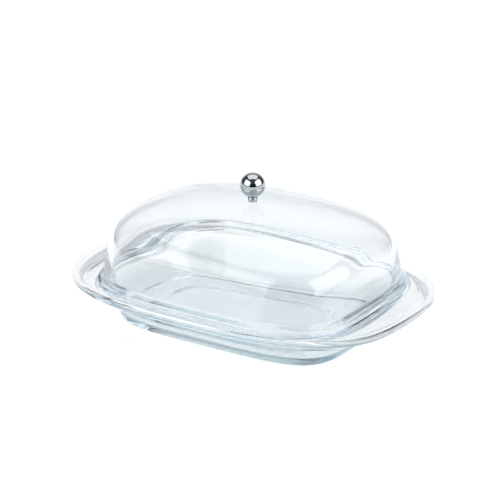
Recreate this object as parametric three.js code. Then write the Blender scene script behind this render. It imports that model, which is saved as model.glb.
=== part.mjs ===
// Glass butter dish: an oblong dish with a wide flange, a domed glass cover that rests in a shallow
// gallery around the well, and a chrome ball knob bonded to the crown of the cover.
// Millimetres, +Z up, +X along the dish, origin on the table under the middle of the foot.
import * as THREE from "three";

// ---- Facets -------------------------------------------------------------------------------------
const OBLONG_SEGMENTS = 52; // around the dish and the cover
const ROUND_SEGMENTS = 24; // around the knob and its fixings
const CLEARANCE = 0.3; // gap kept between neighbouring pieces

// ---- Oblong outlines: half length (X), half width (Y), squareness (2 = ellipse, more = boxier) ----
const RIM = { length: 97.8, width: 68, squareness: 2.87 }; // centre line of the rim bead
const GALLERY = { length: 79.3, width: 63, squareness: 3.8 }; // where the cover drops in
const MOUTH = { length: 75.5, width: 54, squareness: 3.7 }; // top edge of the well
const FLOOR = { length: 66.2, width: 45, squareness: 4.2 }; // where the well's walls meet its floor
const FOOT = { length: 68.2, width: 47, squareness: 4.4 }; // widest line of the foot
const RECESS = { length: 46.5, width: 23, squareness: 2.8 }; // hollow under the foot
const LIP = { length: 78.6, width: 62.3, squareness: 3.8 }; // outside of the cover's lip
const WALL = { length: 75.6, width: 59.8, squareness: 3.9 }; // foot of the cover's walls

// ---- Dish heights and thicknesses -----------------------------------------------------------------
const RECESS_DEPTH = 0.9;
const RECESS_SLOPE = 1.6; // width of the recess's sloping edge
const FOOT_RADIUS = 2;
const FLOOR_Z = 4.4;
const FLOOR_RADIUS = 8;
const SEAT_Z = 20.9; // where the cover rests
const MOUTH_RADIUS = 3;
const SEAT_THICKNESS = 2.9;
const FLANGE_Z = 21.9; // top of the flange
const FLANGE_MARGIN = 3.2; // the flat of the flange ends this far inside the bead's centre line
const GALLERY_SLOPE = 0.6; // width of the gallery's little step
const BEAD_RADIUS = 2.2;
const BEAD_Z = 22;
const WALL_TOP = { length: 75.8, width: 54.4, squareness: 3.8 }; // outer wall under the flange
const WALL_TOP_RADIUS = 3.2;

// ---- Cover heights and thicknesses ------------------------------------------------------------------
const LIP_Z = SEAT_Z + CLEARANCE;
const LIP_HEIGHT = 4.6;
const LIP_RADIUS = 1.3;
const LIP_WIDTH = 5;
const LIP_FILLET = 0.6; // small cove between the lip and the wall
const COVE_Z = 2; // height of the inner wall's foot over the lip's underside
const WALL_Z = 29.3; // where the lip has faded into the wall
const WALL_THICKNESS = 3.2;
const CROWN_Z = 69.2; // flat land under the knob
const CROWN_THICKNESS = 3.4;
const SHOULDER_POWER = 8; // higher: straighter walls under a tighter shoulder
const CROWN_RISE = 11.5; // of the crown's gentle arch over its edge
const SIDE_DRAFT = 0.09; // lean of the long sides, mm per mm
const CROWN_SQUARENESS = 2.1; // the outline softens towards an ellipse at the crown
const DOME_STEPS = 11;
const STEP_POWER = 2.2; // bunches the steps where the dome bends most
const LAND_RADIUS = 4;

// ---- Knob ---------------------------------------------------------------------------------------------
const BALL_RADIUS = 6.9;
const BALL_Z = 78.9;
const COLLAR_RADIUS = 2.75;
const COLLAR_BULGE = 0.55; // of half its height
const BORE_RADIUS = 1.5; // clearance bore in the ball and the collar
const STUD_RADIUS = 1.2;
const STUD_CHAMFER = 0.3;
const STUD_IN_BALL = 5.5;
const BOND_RADIUS = 2.4;
const BOND_THICKNESS = 0.3;
const STACK_GAP = 0.2; // between the pieces stacked on the crown

// ---- Materials --------------------------------------------------------------------------------------
const glass = (color) =>
  new THREE.MeshStandardMaterial({
    color,
    roughness: 0.03,
    metalness: 0,
    transparent: true,
    opacity: 0.3,
  });
const metal = (color, roughness) =>
  new THREE.MeshStandardMaterial({ color, roughness, metalness: 1 });
const MATERIALS = {
  dish: glass(0xdfe9ee),
  lid_dome: glass(0xe4edf2),
  knob_ball: metal(0xc9ccd0, 0.06),
  knob_collar: metal(0xbfc2c6, 0.12),
  knob_stud: metal(0xaeb1b5, 0.3),
  bond_disc: glass(0xeef2f4),
};

// ---- Outlines ---------------------------------------------------------------------------------------
const circle = (radius) => ({ length: radius, width: radius, squareness: 2 });

const grown = (outline, by) => ({
  length: outline.length + by,
  width: outline.width + by,
  squareness: outline.squareness,
});

const mixed = (from, to, share) => ({
  length: THREE.MathUtils.lerp(from.length, to.length, share),
  width: THREE.MathUtils.lerp(from.width, to.width, share),
  squareness: THREE.MathUtils.lerp(from.squareness, to.squareness, share),
});

// Distance from the middle to the outline in one direction.
function reach(outline, angle) {
  const alongX = Math.abs(Math.cos(angle)) / outline.length;
  const alongY = Math.abs(Math.sin(angle)) / outline.width;
  const power = outline.squareness;
  return (alongX ** power + alongY ** power) ** (-1 / power);
}

// ---- Lofting ----------------------------------------------------------------------------------------
const station = (outline, z) => ({ outline, z });

// Stations on a quarter turn or other arc in the section plane. The arc's middle is offset
// outwards from the outline, and angles are in degrees: 0 points outwards, 90 points up.
function arcStations(outline, middle, radius, fromDegrees, toDegrees, steps) {
  return Array.from({ length: steps + 1 }, (_, i) => {
    const angle = THREE.MathUtils.degToRad(
      THREE.MathUtils.lerp(fromDegrees, toDegrees, i / steps),
    );
    const out = middle.out + radius * Math.cos(angle);
    return station(grown(outline, out), middle.z + radius * Math.sin(angle));
  });
}

// Skin over the stations in order, from under the middle, out and back to over the middle, with a
// flat cap at each end.
function loft(stations) {
  const positions = [];
  for (const { outline, z } of stations) {
    for (let i = 0; i < OBLONG_SEGMENTS; i++) {
      const angle = (2 * Math.PI * i) / OBLONG_SEGMENTS;
      const r = reach(outline, angle);
      positions.push(r * Math.cos(angle), r * Math.sin(angle), z);
    }
  }
  const last = stations.length - 1;
  const under = positions.length / 3;
  const over = under + 1;
  positions.push(0, 0, stations[0].z, 0, 0, stations[last].z);
  const index = [];
  const at = (j, i) => j * OBLONG_SEGMENTS + (i % OBLONG_SEGMENTS);
  for (let i = 0; i < OBLONG_SEGMENTS; i++) {
    for (let j = 0; j < last; j++) {
      index.push(at(j, i), at(j, i + 1), at(j + 1, i + 1));
      index.push(at(j, i), at(j + 1, i + 1), at(j + 1, i));
    }
    index.push(under, at(0, i + 1), at(0, i));
    index.push(over, at(last, i), at(last, i + 1));
  }
  const geometry = new THREE.BufferGeometry();
  geometry.setAttribute(
    "position",
    new THREE.Float32BufferAttribute(positions, 3),
  );
  geometry.setIndex(index);
  geometry.computeVertexNormals();
  return geometry;
}

// ---- Dish -------------------------------------------------------------------------------------------
function dishGeometry() {
  const underside = [
    station(RECESS, RECESS_DEPTH),
    station(grown(RECESS, RECESS_SLOPE), 0),
    ...arcStations(
      FOOT,
      { out: -FOOT_RADIUS, z: FOOT_RADIUS },
      FOOT_RADIUS,
      -90,
      -20,
      3,
    ),
  ];
  const wallTop = arcStations(
    WALL_TOP,
    { out: WALL_TOP_RADIUS, z: SEAT_Z - SEAT_THICKNESS - WALL_TOP_RADIUS },
    WALL_TOP_RADIUS,
    155,
    95,
    3,
  );
  const bead = arcStations(RIM, { out: 0, z: BEAD_Z }, BEAD_RADIUS, -130, 165, 9);
  const flange = [
    station(grown(RIM, -FLANGE_MARGIN), FLANGE_Z),
    station(grown(GALLERY, GALLERY_SLOPE), FLANGE_Z),
    station(GALLERY, SEAT_Z),
  ];
  const mouth = arcStations(
    MOUTH,
    { out: 0, z: SEAT_Z - MOUTH_RADIUS },
    MOUTH_RADIUS,
    90,
    145,
    3,
  );
  const floor = arcStations(
    FLOOR,
    { out: -FLOOR_RADIUS, z: FLOOR_Z + FLOOR_RADIUS },
    FLOOR_RADIUS,
    -35,
    -90,
    4,
  );
  return loft([...underside, ...wallTop, ...bead, ...flange, ...mouth, ...floor]);
}

// ---- Cover ------------------------------------------------------------------------------------------
// Stations up one skin of the dome, from the wall's foot to the flat land under the knob: a
// rounded box section whose top is arched.
function domeStations(wall, topZ, steps) {
  const height = topZ - WALL_Z;
  const crown = { ...wall, squareness: CROWN_SQUARENESS };
  return Array.from({ length: steps }, (_, i) => {
    const turn = (Math.PI / 2) * (1 - (1 - i / steps) ** STEP_POWER);
    const spread = Math.cos(turn) ** (2 / SHOULDER_POWER);
    const shoulder = (height - CROWN_RISE) * Math.sin(turn) ** (2 / SHOULDER_POWER);
    const rise = shoulder + CROWN_RISE * (1 - spread ** 2);
    const softened = mixed(wall, crown, rise / height);
    const outline = {
      length: softened.length * spread,
      width: (softened.width - SIDE_DRAFT * rise) * spread,
      squareness: softened.squareness,
    };
    return station(outline, WALL_Z + rise);
  });
}

function lidGeometry() {
  const innerWall = grown(WALL, -WALL_THICKNESS);
  const landUnder = CROWN_Z - CROWN_THICKNESS;
  const lipTop = LIP_Z + LIP_HEIGHT;
  const lip = [
    station(grown(LIP, -LIP_WIDTH), LIP_Z),
    ...arcStations(
      LIP,
      { out: -LIP_RADIUS, z: LIP_Z + LIP_RADIUS },
      LIP_RADIUS,
      -90,
      0,
      2,
    ),
    ...arcStations(
      LIP,
      { out: -LIP_RADIUS, z: lipTop - LIP_RADIUS },
      LIP_RADIUS,
      0,
      60,
      2,
    ),
    station(grown(WALL, LIP_FILLET), lipTop + 2 * LIP_FILLET),
  ];
  return loft([
    station(circle(LAND_RADIUS), landUnder),
    ...domeStations(innerWall, landUnder, DOME_STEPS - 2).reverse(),
    station(innerWall, LIP_Z + COVE_Z),
    ...lip,
    ...domeStations(WALL, CROWN_Z, DOME_STEPS),
    station(circle(LAND_RADIUS), CROWN_Z),
  ]);
}

// ---- Round pieces on the knob's axis ------------------------------------------------------------------
const onAxis = (radius, z) => new THREE.Vector2(radius, z);

// A body of revolution about +Z from its half section, listed from the bottom up.
const turned = (profile) =>
  new THREE.LatheGeometry(profile, ROUND_SEGMENTS).rotateX(Math.PI / 2);

function profileArc(centreRadius, centreZ, radius, fromDegrees, toDegrees, steps) {
  return Array.from({ length: steps + 1 }, (_, i) => {
    const angle = THREE.MathUtils.degToRad(
      THREE.MathUtils.lerp(fromDegrees, toDegrees, i / steps),
    );
    return onAxis(
      centreRadius + radius * Math.cos(angle),
      centreZ + radius * Math.sin(angle),
    );
  });
}

const bondLow = CROWN_Z + STACK_GAP;
const bondHigh = bondLow + BOND_THICKNESS;
const collarLow = bondHigh + STACK_GAP;
const ballFlat = BALL_Z - Math.sqrt(BALL_RADIUS ** 2 - COLLAR_RADIUS ** 2);
const collarHigh = ballFlat - STACK_GAP;
const studLow = collarLow + CLEARANCE;
const studHigh = ballFlat + STUD_IN_BALL;

function ballGeometry() {
  const flatAngle = -90 + THREE.MathUtils.radToDeg(Math.asin(COLLAR_RADIUS / BALL_RADIUS));
  const sphere = profileArc(0, BALL_Z, BALL_RADIUS, flatAngle, 90, 14);
  sphere[sphere.length - 1].x = 0;
  return turned([
    onAxis(0, studHigh + CLEARANCE),
    onAxis(BORE_RADIUS, studHigh + CLEARANCE),
    onAxis(BORE_RADIUS, ballFlat),
    ...sphere,
  ]);
}

// A short barrel, fullest at half its height.
function collarGeometry() {
  const half = (collarHigh - collarLow) / 2;
  const bulge = half * COLLAR_BULGE;
  const barrel = [-90, -45, 0, 45, 90].map((degrees) => {
    const angle = THREE.MathUtils.degToRad(degrees);
    return onAxis(
      COLLAR_RADIUS - bulge + bulge * Math.cos(angle),
      collarLow + half + half * Math.sin(angle),
    );
  });
  return turned([
    onAxis(BORE_RADIUS, collarLow),
    ...barrel,
    onAxis(BORE_RADIUS, collarHigh),
    onAxis(BORE_RADIUS, collarLow),
  ]);
}

const studGeometry = () =>
  turned([
    onAxis(0, studLow),
    onAxis(STUD_RADIUS - STUD_CHAMFER, studLow),
    onAxis(STUD_RADIUS, studLow + STUD_CHAMFER),
    onAxis(STUD_RADIUS, studHigh - STUD_CHAMFER),
    onAxis(STUD_RADIUS - STUD_CHAMFER, studHigh),
    onAxis(0, studHigh),
  ]);

// The film of clear adhesive under the collar.
const bondGeometry = () =>
  turned([
    onAxis(0, bondLow),
    onAxis(BOND_RADIUS, bondLow),
    onAxis(BOND_RADIUS, bondHigh),
    onAxis(0, bondHigh),
  ]);

// ---- Assembly ---------------------------------------------------------------------------------------
function piece(name, geometry) {
  const mesh = new THREE.Mesh(geometry, MATERIALS[name]);
  mesh.name = name;
  return mesh;
}

const knob = new THREE.Group().add(
  piece("knob_ball", ballGeometry()),
  piece("knob_collar", collarGeometry()),
  piece("knob_stud", studGeometry()),
  piece("bond_disc", bondGeometry()),
);

const cover = new THREE.Group().add(piece("lid_dome", lidGeometry()), knob);

const butterDish = new THREE.Group().add(piece("dish", dishGeometry()), cover);
butterDish.name = "butter_dish";

export default butterDish;
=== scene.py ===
import math

import bpy
import numpy as np
from mathutils import Matrix, Vector


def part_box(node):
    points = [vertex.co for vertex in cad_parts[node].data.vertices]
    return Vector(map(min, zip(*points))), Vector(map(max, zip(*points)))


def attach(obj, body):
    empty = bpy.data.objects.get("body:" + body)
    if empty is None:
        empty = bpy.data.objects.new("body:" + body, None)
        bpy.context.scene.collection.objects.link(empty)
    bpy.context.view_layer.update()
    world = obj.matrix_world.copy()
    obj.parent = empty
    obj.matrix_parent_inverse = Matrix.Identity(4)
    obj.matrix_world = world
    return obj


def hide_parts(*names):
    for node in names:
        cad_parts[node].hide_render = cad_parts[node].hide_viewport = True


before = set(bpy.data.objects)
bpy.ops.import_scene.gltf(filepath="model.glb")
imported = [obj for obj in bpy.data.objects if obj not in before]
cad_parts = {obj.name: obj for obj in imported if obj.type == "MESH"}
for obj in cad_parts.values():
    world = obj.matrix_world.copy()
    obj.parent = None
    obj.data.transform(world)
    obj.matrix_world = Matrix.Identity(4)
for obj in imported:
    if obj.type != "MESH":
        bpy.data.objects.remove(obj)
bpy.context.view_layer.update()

# ---- Where the CAD pieces are (metres) ----------------------------------------------------------
DISH_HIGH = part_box("dish")[1]
LID_LOW, LID_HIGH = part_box("lid_dome")
BALL_LOW, BALL_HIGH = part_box("knob_ball")
COLLAR_LOW, COLLAR_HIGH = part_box("knob_collar")
STUD_LOW, STUD_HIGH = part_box("knob_stud")
BOND_LOW, BOND_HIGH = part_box("bond_disc")

MM = 0.001
AROUND = 640  # segments round the dish and the cover
TURNED = 96  # segments round the knob, its stud and the bond


# ---- Outlines and lofts, in millimetres -----------------------------------------------------------
def outline(length, width, squareness):
    """An oblong: half length, half width and how boxy it is (2 is an ellipse)."""
    return np.array([length, width, squareness], float)


def grown(shape, by):
    return shape + np.array([by, by, 0.0])


def station(shape, z):
    return np.append(shape, z)


def arc(shape, out, z, radius, start, end, steps):
    """Stations on an arc of the section, its middle 'out' beyond the outline. Degrees, 90 is up."""
    angles = np.radians(np.linspace(start, end, steps + 1))
    return [
        station(grown(shape, out + radius * math.cos(a)), z + radius * math.sin(a))
        for a in angles
    ]


LONGEST_EASE = 0.45  # share of an edge that a rounded corner may take up
TINY = 1e-6  # stands in for an edge of no length


def eased(stations, radius, steps=10):
    """Rounds every corner of a run of stations, its two ends apart, by up to the radius."""
    result = [stations[0]]
    for before, corner, after in zip(stations, stations[1:], stations[2:]):
        into, away = before - corner, after - corner
        reach_in = np.linalg.norm([into[:2].mean(), into[3]])
        reach_out = np.linalg.norm([away[:2].mean(), away[3]])
        start = corner + into * min(LONGEST_EASE, radius / max(reach_in, TINY))
        end = corner + away * min(LONGEST_EASE, radius / max(reach_out, TINY))
        for t in np.linspace(0, 1, steps + 1):
            result.append((1 - t) ** 2 * start + 2 * t * (1 - t) * corner + t * t * end)
    result.append(stations[-1])
    return result


def traced(shape, angle):
    """Points of an outline in the given directions."""
    length, width, power = shape
    along = np.abs(np.cos(angle)) / length
    across = np.abs(np.sin(angle)) / width
    reach = (along**power + across**power) ** (-1 / power)
    return np.c_[reach * np.cos(angle), reach * np.sin(angle)]


FINE_STEPS = 7200  # points used to measure along an outline
STRAIGHT_SHARE = 3  # how much length counts against bending when points are spaced


def spaced(shape, count):
    """Directions that space points of an outline evenly, closer together where it bends."""
    fine = np.linspace(0, 2 * math.pi, FINE_STEPS + 1)
    steps = np.diff(traced(shape, fine), axis=0)
    lengths = np.linalg.norm(steps, axis=1)
    heading = np.unwrap(np.arctan2(steps[:, 1], steps[:, 0]))
    turning = np.abs(np.gradient(heading))
    weights = STRAIGHT_SHARE * lengths / lengths.sum() + turning / turning.sum()
    travelled = np.cumsum(weights)
    travelled = np.concatenate([[0], travelled / travelled[-1]])
    return np.interp(np.arange(count) / count, travelled, fine)


DIRECTIONS = spaced(outline(79, 62, 3.8), AROUND)  # measured near the cover's lip


def ring(shape, z):
    """One row of vertices round an outline."""
    return np.c_[traced(shape, DIRECTIONS), np.full(AROUND, z)]


def mesh_object(name, vertices, faces):
    mesh = bpy.data.meshes.new(name)
    mesh.from_pydata([tuple(v) for v in vertices], [], faces)
    mesh.validate()
    mesh.shade_smooth()
    made = bpy.data.objects.new(name, mesh)
    bpy.context.scene.collection.objects.link(made)
    return made


def skin(rows, around, closed):
    """Faces over rows of vertices in order. A closed skin joins its last row to its first."""
    bands = rows if closed else rows - 1
    faces = []
    for j in range(bands):
        low, high = j * around, ((j + 1) % rows) * around
        for i in range(around):
            k = (i + 1) % around
            faces.append((low + i, low + k, high + k, high + i))
    return faces


def capped(name, rows, first_z, last_z):
    """A closed body over rows of vertices, its ends fanned to points on the axis."""
    around = len(rows[0])
    vertices = np.concatenate([*rows, [[0, 0, first_z], [0, 0, last_z]]])
    faces = skin(len(rows), around, closed=False)
    last, under, over = (len(rows) - 1) * around, len(vertices) - 2, len(vertices) - 1
    for i in range(around):
        k = (i + 1) % around
        faces.append((under, k, i))
        faces.append((over, last + i, last + k))
    return mesh_object(name, vertices * MM, faces)


def loft(name, stations):
    """The skin over the stations, from under the middle, out and back to over the middle."""
    rows = [ring(s[:3], s[3]) for s in stations]
    return capped(name, rows, stations[0][3], stations[-1][3])


# ---- Dish: pressed in one piece, foot, well, gallery, flange and rim bead ---------------------------
BEAD_RADIUS = 2.2
RIM = outline(DISH_HIGH.x / MM - BEAD_RADIUS, DISH_HIGH.y / MM - BEAD_RADIUS, 2.87)
BEAD_Z = DISH_HIGH.z / MM - BEAD_RADIUS
GALLERY = outline(79.3, 63, 3.8)
MOUTH = outline(75.5, 54, 3.7)
FLOOR = outline(66.2, 45, 4.2)
FOOT = outline(68.2, 47, 4.4)
RECESS = outline(46.5, 23, 2.8)
WALL_TOP = outline(75.8, 54.4, 3.8)
RECESS_DEPTH = 0.9
RECESS_SLOPE = 3.5
RECESS_EASE = 2.5
RECESS_MARGIN = 6  # how far the section is drawn either way from the recess's edge
FOOT_RADIUS = 2
FLOOR_Z = 4.4
FLOOR_RADIUS = 8
SEAT_Z = 20.9
SEAT_THICKNESS = 2.9
FLANGE_Z = 21.9
MOUTH_RADIUS = 3
WALL_TOP_RADIUS = 3.2
BEAD_MARGIN = 0.4  # flat run between the bead and the flange
GALLERY_SLOPE = 0.6
GALLERY_EASE = 0.5
SEAT_MARGIN = 1.5  # flat run between the seat and the mouth's rounding
FLOOR_MARGIN = 3  # flat run inside the floor's rounding


def dish():
    hollow = [
        station(grown(RECESS, -RECESS_MARGIN), RECESS_DEPTH),
        station(RECESS, RECESS_DEPTH),
        station(grown(RECESS, RECESS_SLOPE), 0),
        station(grown(RECESS, RECESS_MARGIN), 0),
    ]
    wall_z = SEAT_Z - SEAT_THICKNESS - WALL_TOP_RADIUS
    flange = [
        station(grown(RIM, -BEAD_RADIUS - BEAD_MARGIN), FLANGE_Z),
        station(grown(GALLERY, GALLERY_SLOPE), FLANGE_Z),
        station(GALLERY, SEAT_Z),
        station(grown(MOUTH, SEAT_MARGIN), SEAT_Z),
    ]
    stations = [
        *eased(hollow, RECESS_EASE),
        *arc(FOOT, -FOOT_RADIUS, FOOT_RADIUS, FOOT_RADIUS, -90, -20, 18),
        *arc(WALL_TOP, WALL_TOP_RADIUS, wall_z, WALL_TOP_RADIUS, 155, 93, 16),
        *arc(RIM, 0, BEAD_Z, BEAD_RADIUS, -130, 172, 64),
        *eased(flange, GALLERY_EASE),
        *arc(MOUTH, 0, SEAT_Z - MOUTH_RADIUS, MOUTH_RADIUS, 90, 145, 20),
        *arc(FLOOR, -FLOOR_RADIUS, FLOOR_Z + FLOOR_RADIUS, FLOOR_RADIUS, -35, -90, 20),
    ]
    stations.append(station(grown(FLOOR, -FLOOR_RADIUS - FLOOR_MARGIN), FLOOR_Z))
    return loft("dish_glass", stations)


# ---- Cover: flared lip, near-upright walls, tight shoulder and gently arched crown ------------------
LIP = outline(LID_HIGH.x / MM, LID_HIGH.y / MM, 3.8)
WALL = outline(75.6, 59.8, 3.9)
LIP_Z = LID_LOW.z / MM
LIP_HEIGHT = 4.6
LIP_RADIUS = 1.3
LIP_WIDTH = 5
LIP_FILLET = 0.6
COVE_Z = 2
WALL_Z = 29.3
WALL_THICKNESS = 3.2
CROWN_Z = LID_HIGH.z / MM
CROWN_THICKNESS = 3.4
SHOULDER_POWER = 8  # higher is tighter
CROWN_RISE = 11.5  # arch of the crown, from the shoulder to the middle
SIDE_DRAFT = 0.09  # lean of the long walls, for each millimetre of height
CROWN_SQUARENESS = 2.1
LAND_RADIUS = 1
DOME_STEPS = 60
STEP_POWER = 2.2  # crowds the steps towards the shoulder
FOOT_RUN = 2  # straight inner wall kept above the lip
LIP_RUN = 1.5  # flat run under the lip


def dome(wall, top_z):
    """Stations up one skin of the dome, from the wall's foot to the land under the knob."""
    height = top_z - WALL_Z
    stations = []
    for i in range(DOME_STEPS):
        turn = math.pi / 2 * (1 - (1 - i / DOME_STEPS) ** STEP_POWER)
        spread = math.cos(turn) ** (2 / SHOULDER_POWER)
        shoulder = (height - CROWN_RISE) * math.sin(turn) ** (2 / SHOULDER_POWER)
        rise = shoulder + CROWN_RISE * (1 - spread**2)
        share = rise / height
        stations.append(
            station(
                [
                    wall[0] * spread,
                    (wall[1] - SIDE_DRAFT * rise) * spread,
                    wall[2] + (CROWN_SQUARENESS - wall[2]) * share,
                ],
                WALL_Z + rise,
            )
        )
    return stations


def cover():
    inner_wall = grown(WALL, -WALL_THICKNESS)
    land_under = CROWN_Z - CROWN_THICKNESS
    lip_top = LIP_Z + LIP_HEIGHT
    foot = [
        station(inner_wall, WALL_Z - FOOT_RUN),
        station(inner_wall, LIP_Z + COVE_Z),
        station(grown(LIP, -LIP_WIDTH), LIP_Z),
        station(grown(LIP, -LIP_WIDTH + LIP_RUN), LIP_Z),
    ]
    stations = [
        station(outline(LAND_RADIUS, LAND_RADIUS, 2), land_under),
        *dome(inner_wall, land_under)[::-1],
        *eased(foot, LIP_FILLET),
        *arc(LIP, -LIP_RADIUS, LIP_Z + LIP_RADIUS, LIP_RADIUS, -90, 0, 20),
        *arc(LIP, -LIP_RADIUS, lip_top - LIP_RADIUS, LIP_RADIUS, 0, 60, 16),
        station(grown(WALL, LIP_FILLET), lip_top + 2 * LIP_FILLET),
        *dome(WALL, CROWN_Z),
        station(outline(LAND_RADIUS, LAND_RADIUS, 2), CROWN_Z),
    ]
    return loft("cover_glass", stations)


# ---- Round pieces on the knob's axis ----------------------------------------------------------------
def lathe(name, profile):
    """A body turned about the knob's axis from its half section, bottom to top, in millimetres.
    A profile that starts and ends off the axis is closed into a ring."""
    angle = 2 * math.pi * np.arange(TURNED) / TURNED
    ring_shaped = profile[0][0] > 0
    inner = profile if ring_shaped else profile[1:-1]
    rows = [np.c_[r * np.cos(angle), r * np.sin(angle), np.full(TURNED, z)] for r, z in inner]
    if ring_shaped:
        faces = skin(len(rows), TURNED, closed=True)
        return mesh_object(name, np.concatenate(rows) * MM, faces)
    return capped(name, rows, profile[0][1], profile[-1][1])


def softened(profile, radius, steps=4):
    """Rounds the corners of a half section, its two ends apart."""
    points = [np.array(p, float) for p in profile]
    result = [points[0]]
    for before, corner, after in zip(points, points[1:], points[2:]):
        into, away = before - corner, after - corner
        start = corner + into * min(LONGEST_EASE, radius / np.linalg.norm(into))
        end = corner + away * min(LONGEST_EASE, radius / np.linalg.norm(away))
        for t in np.linspace(0, 1, steps + 1):
            result.append((1 - t) ** 2 * start + 2 * t * (1 - t) * corner + t * t * end)
    result.append(points[-1])
    return [tuple(p) for p in result]


BORE_RADIUS = 1.5
BORE_GAP = 0.3  # air over the stud's end
BALL_STEPS = 71
COLLAR_BULGE = 0.55
COLLAR_STEPS = 24
THREAD_PITCH = 0.5
THREAD_DEPTH = 0.16
THREAD_RUNOUT = 0.5  # plain length at each end of the stud
THREAD_ROUNDING = 0.02
STUD_CHAMFER = 0.4
BOND_EDGE = 0.1
BALL_RADIUS = BALL_HIGH.x / MM
BALL_Z = BALL_HIGH.z / MM - BALL_RADIUS
BALL_FLAT = BALL_LOW.z / MM
STUD_RADIUS = STUD_HIGH.x / MM
STUD_BOTTOM = STUD_LOW.z / MM
STUD_TOP = STUD_HIGH.z / MM


def ball():
    flat = -math.acos(min(1, (BALL_Z - BALL_FLAT) / BALL_RADIUS))
    angles = np.linspace(-math.pi / 2 - flat, math.pi / 2, BALL_STEPS + 1)[:-1]
    sphere = [(BALL_RADIUS * math.cos(a), BALL_Z + BALL_RADIUS * math.sin(a)) for a in angles]
    return lathe(
        "ball_knob",
        [
            (0, STUD_TOP + BORE_GAP),
            (BORE_RADIUS, STUD_TOP + BORE_GAP),
            (BORE_RADIUS, BALL_FLAT),
            *sphere,
            (0, BALL_Z + BALL_RADIUS),
        ],
    )


def collar():
    low, high = COLLAR_LOW.z / MM, COLLAR_HIGH.z / MM
    half, middle, widest = (high - low) / 2, (high + low) / 2, COLLAR_HIGH.x / MM
    bulge = COLLAR_BULGE * half
    barrel = [
        (widest - bulge + bulge * math.cos(a), middle + half * math.sin(a))
        for a in np.linspace(-math.pi / 2, math.pi / 2, COLLAR_STEPS + 1)
    ]
    return lathe("barrel_collar", [(BORE_RADIUS, low), *barrel, (BORE_RADIUS, high)])


def stud():
    """A rod with a fine thread, drawn as rounded ridges."""
    low, high = STUD_BOTTOM + THREAD_RUNOUT, STUD_TOP - THREAD_RUNOUT
    ridges = []
    for i in range(int((high - low) / THREAD_PITCH)):
        z = low + i * THREAD_PITCH
        ridges += [
            (STUD_RADIUS - THREAD_DEPTH, z),
            (STUD_RADIUS - THREAD_ROUNDING, z + 0.4 * THREAD_PITCH),
            (STUD_RADIUS, z + 0.5 * THREAD_PITCH),
            (STUD_RADIUS - THREAD_ROUNDING, z + 0.6 * THREAD_PITCH),
        ]
    return lathe(
        "threaded_stud",
        [
            (0, STUD_BOTTOM),
            (STUD_RADIUS - STUD_CHAMFER, STUD_BOTTOM),
            *ridges,
            (STUD_RADIUS - STUD_CHAMFER, STUD_TOP),
            (0, STUD_TOP),
        ],
    )


def bond():
    low, high, edge = BOND_LOW.z / MM, BOND_HIGH.z / MM, BOND_HIGH.x / MM
    section = [(0, low), (edge, low), (edge, high), (0, high)]
    return lathe("bond_disc_clear", softened(section, BOND_EDGE))


# ---- Materials --------------------------------------------------------------------------------------
def shader(name):
    material = bpy.data.materials.new(name)
    material.use_nodes = True
    tree = material.node_tree
    return material, tree, tree.nodes["Principled BSDF"]


def noise(tree, scale, detail):
    """Noise on the object's own coordinates, so that it moves with the piece."""
    place = tree.nodes.new("ShaderNodeTexCoord")
    texture = tree.nodes.new("ShaderNodeTexNoise")
    texture.inputs["Scale"].default_value = scale
    texture.inputs["Detail"].default_value = detail
    tree.links.new(place.outputs["Object"], texture.inputs["Vector"])
    return texture.outputs["Fac"]


NOISE_LOW, NOISE_HIGH = 0.3, 0.7  # the range that noise mostly keeps to


def spread_over(tree, source, low, high):
    """The noise's usual range stretched from low to high."""
    ramp = tree.nodes.new("ShaderNodeMapRange")
    ramp.inputs["From Min"].default_value = NOISE_LOW
    ramp.inputs["From Max"].default_value = NOISE_HIGH
    ramp.inputs["To Min"].default_value = low
    ramp.inputs["To Max"].default_value = high
    tree.links.new(source, ramp.inputs["Value"])
    return ramp.outputs["Result"]


def tinted(tree, source, first, second):
    """A colour that wanders between two tints. The first can be another node's colour."""
    mix = tree.nodes.new("ShaderNodeMix")
    mix.data_type = "RGBA"
    if isinstance(first, bpy.types.NodeSocket):
        tree.links.new(first, mix.inputs["A"])
    else:
        mix.inputs["A"].default_value = (*first, 1)
    mix.inputs["B"].default_value = (*second, 1)
    tree.links.new(source, mix.inputs["Factor"])
    return mix.outputs["Result"]


def bumped(tree, bsdf, source, depth):
    bump = tree.nodes.new("ShaderNodeBump")
    bump.inputs["Distance"].default_value = depth
    tree.links.new(source, bump.inputs["Height"])
    tree.links.new(bump.outputs["Normal"], bsdf.inputs["Normal"])


def set_stops(ramp, stops):
    """Gives a colour ramp its stops, each a place from 0 to 1 and a colour, in rising order."""
    elements = ramp.color_ramp.elements
    while len(elements) < len(stops):
        elements.new(0.5)
    for element, (place, colour) in zip(elements, stops):
        element.position = place
        element.color = (*colour, 1)


def by_height(tree, tints_and_shade):
    """A colour that changes with height above the foot; on the dish and the cover its darker stops are
    painted shade. Each is a height in metres and a colour.
    """
    place = tree.nodes.new("ShaderNodeTexCoord")
    split = tree.nodes.new("ShaderNodeSeparateXYZ")
    tree.links.new(place.outputs["Object"], split.inputs["Vector"])
    reach = tree.nodes.new("ShaderNodeMapRange")
    highest = tints_and_shade[-1][0]
    reach.inputs["From Max"].default_value = highest
    tree.links.new(split.outputs["Z"], reach.inputs["Value"])
    ramp = tree.nodes.new("ShaderNodeValToRGB")
    tree.links.new(reach.outputs["Result"], ramp.inputs["Fac"])
    set_stops(ramp, [(height / highest, colour) for height, colour in tints_and_shade])
    return ramp.outputs["Color"]


WAVE_DETAIL = 1.5
WAVE_SHARE = 0.2  # how far the waves may pull the tint away from its colour by height
SMEAR_DETAIL = 4
SMEARS_PER_WAVE = 5
POLISH_DETAIL = 5


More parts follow.
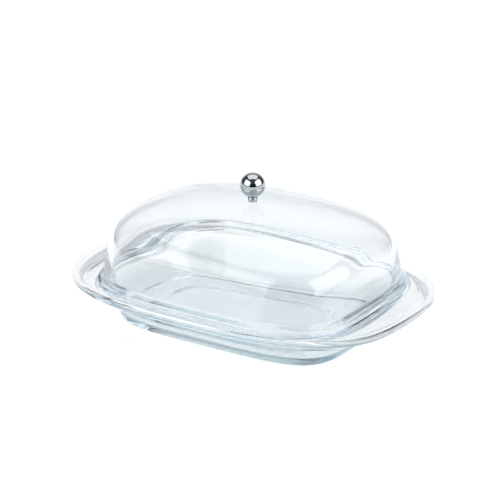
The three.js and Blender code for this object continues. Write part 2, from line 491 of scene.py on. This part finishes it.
def clear(name, tints_and_shade, wave_tint, ior, roughness, wave_scale, wave_depth, absorption):
    """Clear glass or plastic: slow waves left by the mould, faint smears, a tint in the thick and a
    colour by height that is partly painted shade.
    """
    material, tree, bsdf = shader(name)
    bsdf.inputs["Transmission Weight"].default_value = 1
    bsdf.inputs["IOR"].default_value = ior
    waves = noise(tree, wave_scale, WAVE_DETAIL)
    smears = noise(tree, wave_scale * SMEARS_PER_WAVE, SMEAR_DETAIL)
    drift = spread_over(tree, waves, 0, WAVE_SHARE)
    colour = tinted(tree, drift, by_height(tree, tints_and_shade), wave_tint)
    tree.links.new(colour, bsdf.inputs["Base Color"])
    tree.links.new(spread_over(tree, smears, *roughness), bsdf.inputs["Roughness"])
    bumped(tree, bsdf, waves, wave_depth)
    tint, density = absorption
    volume = tree.nodes.new("ShaderNodeVolumeAbsorption")
    volume.inputs["Color"].default_value = (*tint, 1)
    volume.inputs["Density"].default_value = density
    output = tree.nodes["Material Output"]
    tree.links.new(volume.outputs["Volume"], output.inputs["Volume"])
    return material


def metal(name, first, second, roughness, scale):
    """Polished or turned metal, its tint and its polish drifting a little."""
    material, tree, bsdf = shader(name)
    bsdf.inputs["Metallic"].default_value = 1
    smears = noise(tree, scale, POLISH_DETAIL)
    tree.links.new(tinted(tree, smears, first, second), bsdf.inputs["Base Color"])
    tree.links.new(spread_over(tree, smears, *roughness), bsdf.inputs["Roughness"])
    return material


# Heights: the floor's top, the foot of the walls, the top of the walls and the seat. The dark stops at
# the floor and the walls are painted shade, the shade under the dish and in its well, laid over the
# glass's own faint tint.
DISH_GLASS = clear(
    "dish_glass",
    tints_and_shade=[
        (0.0045, (0.765, 0.80, 0.82)),
        (0.007, (0.66, 0.70, 0.72)),
        (0.0175, (0.70, 0.735, 0.755)),
        (0.0205, (0.985, 0.99, 0.994)),
    ],
    wave_tint=(0.96, 0.98, 0.99),
    ior=1.5,
    roughness=(0.0, 0.012),
    wave_scale=24,
    wave_depth=0.00008,
    absorption=((0.70, 0.84, 0.88), 11),
)
# The cover's tint deepens towards the crown as painted shade, over the glass's own faint tint.
COVER_GLASS = clear(
    "cover_glass",
    tints_and_shade=[(0.02, (0.985, 0.992, 0.996)), (0.07, (0.955, 0.972, 0.981))],
    wave_tint=(0.98, 0.988, 0.993),
    ior=1.5,
    roughness=(0.0, 0.01),
    wave_scale=20,
    wave_depth=0.00007,
    absorption=((0.72, 0.82, 0.90), 8),
)
ADHESIVE = clear(
    "clear_adhesive",
    tints_and_shade=[(0.06, (0.96, 0.98, 0.985)), (0.07, (0.965, 0.98, 0.985))],
    wave_tint=(0.985, 0.99, 0.995),
    ior=1.49,
    roughness=(0.02, 0.08),
    wave_scale=300,
    wave_depth=0.00002,
    absorption=((0.85, 0.92, 0.95), 12),
)
CHROME = metal("knob_chrome", (0.42, 0.46, 0.49), (0.46, 0.495, 0.52), (0.0, 0.02), 260)
STEEL = metal("stud_steel", (0.50, 0.51, 0.53), (0.66, 0.67, 0.68), (0.2, 0.4), 700)

# ---- The object -------------------------------------------------------------------------------------
PIECES = [
    (dish, "dish", "dish", "dish_glass", DISH_GLASS),
    (cover, "lid_dome", "cover", "cover_glass", COVER_GLASS),
    (ball, "knob_ball", "cover", "knob_chrome", CHROME),
    (collar, "knob_collar", "cover", "knob_chrome", CHROME),
    (stud, "knob_stud", "cover", "stud_steel", STEEL),
    (bond, "bond_disc", "cover", "clear_adhesive", ADHESIVE),
]
for build, node, body, slot_name, material in PIECES:
    piece = build()
    piece.data.materials.append(material)
    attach(piece, body)
    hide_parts(node)

# ---- Floor ------------------------------------------------------------------------------------------
FLOOR_SIZE = 12
FLOOR_GAP = 0.0003  # air under the glass, as under any pressed foot
PAPER_TINTS = ((0.53, 0.532, 0.536), (0.55, 0.55, 0.551))
PAPER_SCALE, PAPER_DETAIL = 6, 4
TABLE_GLOW = 0.58  # the paper lies on a light table

bpy.ops.mesh.primitive_plane_add(size=FLOOR_SIZE, location=(0, 0, -FLOOR_GAP))
floor = bpy.context.object
floor.name = "studio_floor"
paper, paper_tree, paper_bsdf = shader("white_paper")
fibres = noise(paper_tree, PAPER_SCALE, PAPER_DETAIL)
paper_colour = tinted(paper_tree, fibres, *PAPER_TINTS)
paper_tree.links.new(paper_colour, paper_bsdf.inputs["Base Color"])
paper_bsdf.inputs["Roughness"].default_value = 0.9
paper_bsdf.inputs["Specular IOR Level"].default_value = 0.1
paper_bsdf.inputs["Emission Color"].default_value = (1, 1, 1, 1)
paper_bsdf.inputs["Emission Strength"].default_value = TABLE_GLOW
floor.data.materials.append(paper)

# ---- Camera -----------------------------------------------------------------------------------------
CAMERA_AZIMUTH = math.radians(32.36)
CAMERA_ELEVATION = math.radians(22.61)
CAMERA_DISTANCE = 2.0925
SENSOR_WIDTH = 36
LENS = 275.41
PIVOT = Vector((0, 0, 0.025))
AIM_RIGHT, AIM_UP = -0.001468, 0.014668  # the picture's middle, from the pivot


def direction(azimuth, elevation):
    """Unit vector towards a place in the room. Azimuth 0 is in front (-Y) and 90 is along +X."""
    flat = math.cos(elevation)
    return Vector((math.sin(azimuth) * flat, -math.cos(azimuth) * flat, math.sin(elevation)))


def looking(back):
    """Rotation for something whose -Z points against the vector back, with its Y upwards."""
    right = Vector((0, 0, 1)).cross(back).normalized()
    up = back.cross(right)
    return Matrix((right, up, back)).transposed()


towards_camera = direction(CAMERA_AZIMUTH, CAMERA_ELEVATION)
axes = looking(towards_camera)
aim = PIVOT + axes @ Vector((AIM_RIGHT, AIM_UP, 0))
position = PIVOT + towards_camera * CAMERA_DISTANCE
camera_data = bpy.data.cameras.new("camera")
camera_data.sensor_width = SENSOR_WIDTH
camera_data.lens = LENS
camera = bpy.data.objects.new("camera", camera_data)
camera.location = position
camera.rotation_euler = looking((position - aim).normalized()).to_euler()
bpy.context.scene.collection.objects.link(camera)
bpy.context.scene.camera = camera

# ---- Light ------------------------------------------------------------------------------------------
LIGHT_TARGET = Vector((0, 0, 0.05))


def softbox(name, azimuth, elevation, distance, width, height, radiance):
    """A rectangular soft light that faces the object. Azimuth is counted from the camera's."""
    data = bpy.data.lights.new(name, "AREA")
    data.shape = "RECTANGLE"
    data.size, data.size_y = width, height
    data.energy = radiance * math.pi * width * height
    towards = direction(CAMERA_AZIMUTH + math.radians(azimuth), math.radians(elevation))
    light = bpy.data.objects.new(name, data)
    light.location = LIGHT_TARGET + towards * distance
    light.rotation_euler = looking(towards).to_euler()
    bpy.context.scene.collection.objects.link(light)


# Name, azimuth from the camera, elevation, distance, width, height and radiance.
SOFTBOXES = [
    ("left_softbox", -60, 27, 2.6, 2.9, 2.0, 2.3),
    ("right_softbox", 64, 29, 2.6, 3.0, 2.3, 2.3),
    ("overhead_softbox", 180, 76, 2.4, 3.0, 2.4, 1.5),
]
for box in SOFTBOXES:
    softbox(*box)

# How bright the room is, from opposite the camera (0) round to behind it (1).
ROOM = [(0.0, 0.75), (0.09, 0.7), (0.13, 0.14), (0.38, 0.1), (0.42, 0.1), (0.93, 0.1), (0.96, 0.01)]
ROOM_COLOUR = (0.94, 0.97, 1.0)
world = bpy.data.worlds.new("studio")
world.use_nodes = True
bpy.context.scene.world = world
sky = world.node_tree
place = sky.nodes.new("ShaderNodeTexCoord")
facing = sky.nodes.new("ShaderNodeVectorMath")
facing.operation = "DOT_PRODUCT"
facing.inputs[1].default_value = direction(CAMERA_AZIMUTH, 0)
sky.links.new(place.outputs["Generated"], facing.inputs[0])
room = sky.nodes.new("ShaderNodeMapRange")
room.inputs["From Min"].default_value = -1
sky.links.new(facing.outputs["Value"], room.inputs["Value"])
ramp = sky.nodes.new("ShaderNodeValToRGB")
set_stops(ramp, [(where, [bright * c for c in ROOM_COLOUR]) for where, bright in ROOM])
sky.links.new(room.outputs["Result"], ramp.inputs["Fac"])
sky.links.new(ramp.outputs["Color"], sky.nodes["Background"].inputs["Color"])

# ---- How light is followed --------------------------------------------------------------------------
LONG_PATH = 64  # light runs far along the inside of a glass edge before it leaves

view = bpy.context.scene.view_settings
view.view_transform = "Standard"
cycles = bpy.context.scene.cycles
cycles.blur_glossy = 0
cycles.max_bounces = LONG_PATH
cycles.transmission_bounces = LONG_PATH
cycles.glossy_bounces = LONG_PATH
cycles.diffuse_bounces = 4
